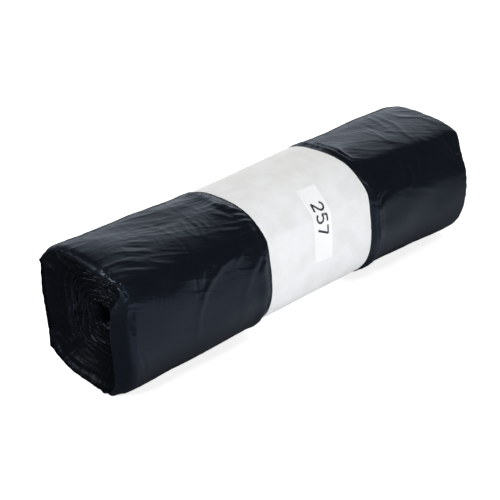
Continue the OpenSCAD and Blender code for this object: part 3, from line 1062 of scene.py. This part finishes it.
def wound_end(side, curl_points):
    """The film's lip, the spiral of film bundles and the eye's wall."""
    turn = turns_round(FILM_COLUMNS)
    lip = film_lip(side, curl_points)
    turns, share, turns_gloss = spiral(side, lip[-1], turn)
    wall = throat(side, turn)
    faces = [face[::side] for face in end_faces(len(lip), len(turns), len(wall))]
    points = np.concatenate([lip, turns, wall])
    piece = roll_piece(f"turns_{END_NAME[side]}", points, faces, TURNS)
    way_in = np.concatenate([np.zeros(lip.shape[:2]), share, np.ones(wall.shape[:2])])
    gloss = np.concatenate([
        np.full(lip.shape[:2], LIP_GLOSS), turns_gloss, np.full(wall.shape[:2], GAP_SHADE_GLOSS)
    ])
    sheet_attribute(piece, np.broadcast_to((turn + LAP_ANGLE) * MEAN_R, way_in.shape), way_in, gloss)
    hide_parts("bag_roll")


# Label

LABEL_ANGLE = 152.5
LABEL_L = 40 * MM
LABEL_W = 12.6 * MM
LABEL_X = 1.6 * MM
LABEL_TILT = math.radians(4.5)
LABEL_ROWS, LABEL_COLUMNS = 90, 28
LABEL_CORNER = 0.6 * MM
LABEL_GLUE = 0.01 * MM
EDGE_LIFT, EDGE_LIFT_FROM = 0.16 * MM, 0.8

# Plain digits in a box 1 wide and DIGIT_BOX_H high, as strokes
NUMBER = "257"
NUMBER_H = 7.4 * MM
NUMBER_START = -10.5 * MM
DIGIT_STEP = 6.3 * MM
DIGIT_BOX_H = 1.5
PEN_W = 1.1 * MM
PEN_STEP = 0.35 * MM


class BandPatch:
    """Places on the band's outer face, in metres along X and along its arc from the label's middle."""

    def __init__(self):
        self.turn = np.linspace(math.radians(80), math.radians(240), 700)
        x = np.full_like(self.turn, LABEL_X)
        arc = lengths_along(on_ring(x, band_radius(x, self.turn), self.turn + LAP_ANGLE))
        middle = (math.radians(LABEL_ANGLE) - LAP_ANGLE) % (2 * math.pi)
        self.arc = arc - np.interp(middle, self.turn, arc)

    def __call__(self, u, v, lift):
        """u runs across the label, v along it from its top end to its bottom end."""
        x = LABEL_X + u * math.cos(LABEL_TILT) - v * math.sin(LABEL_TILT)
        s = v * math.cos(LABEL_TILT) + u * math.sin(LABEL_TILT)
        turn = np.interp(s, self.arc, self.turn)
        return on_ring(x, band_radius(x, turn) + lift, turn + LAP_ANGLE)


def round_corners(u, v):
    """Pulls the corners of a grid of label places in to arcs."""
    over = [np.maximum(np.abs(w) - (size / 2 - LABEL_CORNER), 0) for w, size in ((u, LABEL_W), (v, LABEL_L))]
    pull = 1 - np.minimum(1, LABEL_CORNER / np.maximum(np.hypot(*over), 1e-9))
    return [w - np.sign(w) * part * pull for w, part in zip((u, v), over)]


def label_sheet(patch):
    """The label as a thin sheet with rounded corners, whose edges lift a little."""
    rows, columns = LABEL_ROWS, LABEL_COLUMNS
    v, u = np.meshgrid(np.linspace(-0.5, 0.5, rows), np.linspace(-0.5, 0.5, columns), indexing="ij")
    u, v = round_corners(u * LABEL_W, v * LABEL_L)
    edge = np.maximum(np.abs(u) / (LABEL_W / 2), np.abs(v) / (LABEL_L / 2))
    uneven = 0.5 + 0.5 * Noise(301)(u / (6 * MM), v / (9 * MM), 0.5)
    lift = EDGE_LIFT * eased((edge - EDGE_LIFT_FROM) / (1 - EDGE_LIFT_FROM)) * uneven
    points = np.stack([patch(u, v, LABEL_GLUE + lift), patch(u, v, LABEL_T + lift)])
    low, high = numbered(2, rows, columns)
    edges = tube_faces(np.stack([grid_border(high), grid_border(low)]))
    faces = np.concatenate([grid_faces(low), grid_faces(high)[:, ::-1], edges])
    piece = roll_piece("label_sheet", points, faces.tolist(), LABEL_PAPER)
    sharp_edges(piece)
    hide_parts("label")


def arc_points(centre, radius, start, stop, count=18):
    a = np.radians(np.linspace(start, stop, count))
    return [(centre[0] + radius * math.cos(t), centre[1] + radius * math.sin(t)) for t in a]


DIGIT_STROKES = {
    "2": [arc_points((0.5, 1.03), 0.43, 165, -38) + [(0.06, 0.04)], [(0.02, 0.04), (0.96, 0.04)]],
    "5": [[(0.9, 1.46), (0.2, 1.46)], [(0.2, 1.48), (0.12, 0.78)], arc_points((0.48, 0.47), 0.45, 138, -150)],
    "7": [[(0.04, 1.46), (0.96, 1.46)], [(0.92, 1.46), (0.36, 0.0)]],
}


def resampled(line, step):
    """A line's points again, about a step apart."""
    lengths = lengths_along(line)
    count = max(2, int(lengths[-1] / step) + 1)
    at = np.linspace(0, lengths[-1], count)
    return np.stack([np.interp(at, lengths, line[:, 0]), np.interp(at, lengths, line[:, 1])], -1)


def ink_number(patch):
    """A plain number on the label, read along it, with its strokes as thin ribbons."""
    points, faces = [], []
    for k, digit in enumerate(NUMBER):
        for stroke in DIGIT_STROKES[digit]:
            line = resampled(np.array(stroke) * (NUMBER_H / DIGIT_BOX_H), PEN_STEP)
            tangent = unit(np.gradient(line, axis=0))
            normal = np.stack([-tangent[:, 1], tangent[:, 0]], -1)
            base, n = len(points), len(line)
            for border in (line + normal * PEN_W / 2, line - normal * PEN_W / 2):
                read = NUMBER_START + k * DIGIT_STEP + border[:, 0]
                across = border[:, 1] - NUMBER_H / 2
                points.extend(patch(across, read, LABEL_T + INK_T))
            faces += [(base + n + i, base + n + i + 1, base + i + 1, base + i) for i in range(n - 1)]
    piece = roll_piece("label_number", np.array(points), faces, INK)
    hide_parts("label")


# Studio

# Photograph: the camera's place, aim and lens
CAMERA_AT = (-0.4464, -0.4090, 0.3283)
CAMERA_AZIMUTH = math.radians(43.46)
CAMERA_ELEVATION = math.radians(-26.45)
CAMERA_LENS = 93.6
SENSOR = 36
CAMERA_SIGHT = 50

# The sky lights the scene from behind and above, and the film mirrors a soft window behind the roll
SKY_FRONT, SKY_BACK = 0.14, 0.76
SKY_LEAN, SKY_TOP = 0.9, 0.75
SKY_TINT = (1, 0.985, 0.95, 1)
WINDOW_WAY = (0.62, 0.7, 0.3)
WINDOW_EDGE = 0.6
WINDOW_TINT = (0.84, 0.93, 1.06, 1)
WINDOW_LOW, WINDOW_HIGH = 0.13, 1.0

# The floor's reach, its height just under the roll, its colour and its glow to the camera
FLOOR_FAR, FLOOR_FRONT = 4, -0.8
FLOOR_Z = -0.1 * MM
FLOOR_WHITE = (0.86, 0.86, 0.86, 1)
FLOOR_GLOW = 0.8

# What the film mirrors of the floor: a dim floor as painted shade, with a soft glow in front of the roll's
# near half as a painted reflection, which fades towards the roll's foot as a painted shadow
FLOOR_MIRRORED_SHADE = (0.15, 0.17, 0.2, 1)
FLOOR_GLOSS_GLOW = 0.88
GLOW_ACROSS = (1, 0.45, 0)
GLOW_FULL, GLOW_GONE = 0.0, 0.3
GLOW_FOOT_SHADOW = (-0.07, -0.02)

WHITE = (1, 1, 1, 1)

# Lamps as place, size, power, colour and whether the film mirrors them
LAMPS = {
    "front_softbox": ((-0.75, -1.15, 0.1), 0.3, 13.1, (0.97, 0.99, 1.02), False),
    "end_softbox": ((-1.1, -0.4, 0.68), 0.15, 4, (0.9, 0.96, 1.03), True),
    "back_softbox": ((-0.87, 0.68, 0.82), 0.45, 5.5, (1, 1, 1), True),
}


def floor():
    """A pale floor, white to the camera, and where the film mirrors it a painted dim shade with one soft
    painted glow.
    """
    material, tree, shader = new_material("studio_floor")
    corners = [(-FLOOR_FAR, FLOOR_FRONT, 0), (FLOOR_FAR, FLOOR_FRONT, 0), (FLOOR_FAR, FLOOR_FAR, 0),
               (-FLOOR_FAR, FLOOR_FAR, 0)]
    piece = new_mesh("floor", corners, [(0, 1, 2, 3)], material)
    piece.location.z = FLOOR_Z
    path = add_node(tree, "ShaderNodeLightPath").outputs
    mirrored = math_node(tree, "MAXIMUM", path["Is Glossy Ray"], path["Is Transmission Ray"])
    place = object_place(tree)
    across = along_way(tree, place, GLOW_ACROSS)
    soft = remapped(tree, across, (GLOW_FULL, GLOW_GONE), (FLOOR_GLOSS_GLOW, 0), "SMOOTHSTEP")
    # The glow fades towards the roll's foot, as a painted shadow
    foot = remapped(tree, separated(tree, place)["Y"], GLOW_FOOT_SHADOW, (1, 0), "SMOOTHSTEP")
    glow = math_node(tree, "MULTIPLY", mirrored, math_node(tree, "MULTIPLY", soft, foot))
    seen = math_node(tree, "MULTIPLY", path["Is Camera Ray"], FLOOR_GLOW)
    feed(tree, shader, {
        "Base Color": mixed(tree, "RGBA", mirrored, FLOOR_WHITE, FLOOR_MIRRORED_SHADE),
        "Roughness": 0.9,
        "Specular IOR Level": 0.0,
        "Emission Strength": math_node(tree, "ADD", seen, glow),
        "Emission Color": mixed(tree, "RGBA", mirrored, WHITE, WINDOW_TINT),
    })


def world():
    """A white background, and a sky that is bright behind and above the roll and dim in front of it."""
    scene_world = bpy.data.worlds.new("studio")
    bpy.context.scene.world = scene_world
    scene_world.use_nodes = True
    tree = scene_world.node_tree
    path = add_node(tree, "ShaderNodeLightPath").outputs
    way = add_node(tree, "ShaderNodeTexCoord").outputs["Generated"]
    parts = separated(tree, way)
    rise = math_node(tree, "ADD", math_node(tree, "MULTIPLY", parts["Y"], SKY_LEAN), parts["Z"])
    sky = remapped(tree, rise, (0, SKY_TOP), (SKY_FRONT, SKY_BACK), "SMOOTHSTEP")
    facing = along_way(tree, way, Vector(WINDOW_WAY).normalized())
    window = remapped(tree, facing, (WINDOW_EDGE, 1), (WINDOW_LOW, WINDOW_HIGH), "SMOOTHSTEP")
    lit = mixed(tree, "FLOAT", path["Is Glossy Ray"], sky, window)
    tint = mixed(tree, "RGBA", path["Is Glossy Ray"], SKY_TINT, WINDOW_TINT)
    seen = math_node(tree, "MAXIMUM", path["Is Camera Ray"], path["Is Transmission Ray"])
    feed(tree, tree.nodes["Background"], {
        "Strength": mixed(tree, "FLOAT", seen, lit, 1.0),
        "Color": mixed(tree, "RGBA", seen, tint, WHITE),
    })


def softbox(name, at, size, power, colour, mirrored):
    """A square lamp that faces the middle of the roll."""
    light = bpy.data.lights.new(name, "AREA")
    light.size = size
    light.energy = power
    light.color = colour
    lamp = in_scene(name, light)
    lamp.location = at
    lamp.rotation_euler = (Vector((0, 0, AXIS_Z)) - Vector(at)).to_track_quat("-Z", "Y").to_euler()
    lamp.visible_glossy = mirrored


def camera():
    data = bpy.data.cameras.new("camera")
    data.lens = CAMERA_LENS
    data.sensor_width = SENSOR
    data.sensor_fit = "HORIZONTAL"
    data.clip_end = CAMERA_SIGHT
    eye = in_scene("camera", data)
    eye.location = CAMERA_AT
    eye.rotation_euler = (math.pi / 2 + CAMERA_ELEVATION, 0, CAMERA_AZIMUTH - math.pi / 2)
    bpy.context.scene.camera = eye


bpy.context.scene.view_settings.view_transform = "Standard"
camera()
world()
floor()
for lamp_name, lamp_settings in LAMPS.items():
    softbox(lamp_name, *lamp_settings)

for end_side in (NEAR, FAR):
    wound_end(end_side, outer_film(end_side))
paper_band()
band_patch = BandPatch()
label_sheet(band_patch)
ink_number(band_patch)
